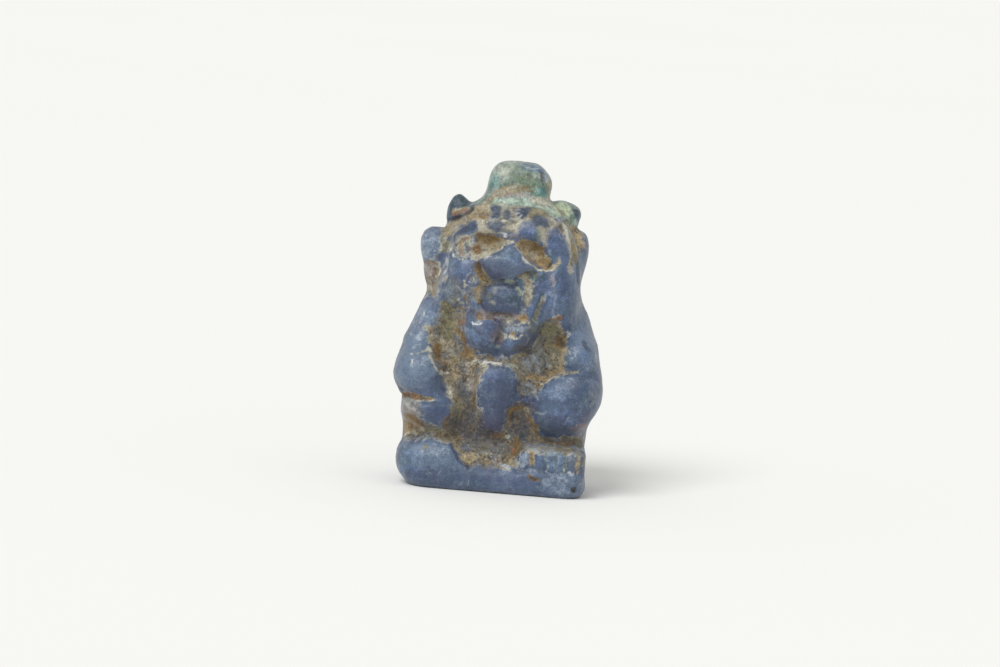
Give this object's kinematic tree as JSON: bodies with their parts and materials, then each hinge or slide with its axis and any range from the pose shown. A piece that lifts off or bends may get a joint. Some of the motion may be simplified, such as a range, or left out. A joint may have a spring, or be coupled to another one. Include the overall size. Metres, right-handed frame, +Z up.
{
  "type": "amulet figurine",
  "caption": "Small worn figurine of a squatting lion-faced dwarf with its hands on its knees, moulded in opaque blue glass together with its low plinth; the crown is broken off.",
  "frame": {"origin": "on the underside, in the middle of the outline's box in plan", "axes": "+Z up along the standing figure, the face looks along -Y, and +X is on the right of someone who looks at the face"},
  "size_m": [0.0184, 0.0118, 0.0284],
  "materials": {
    "blue_glass": "opaque, matt and weathered, with earthy dirt in the hollows and a green patina on the head"
  },
  "bodies": {
    "root": {"figurine": "blue_glass"}
  },
  "joints": []
}
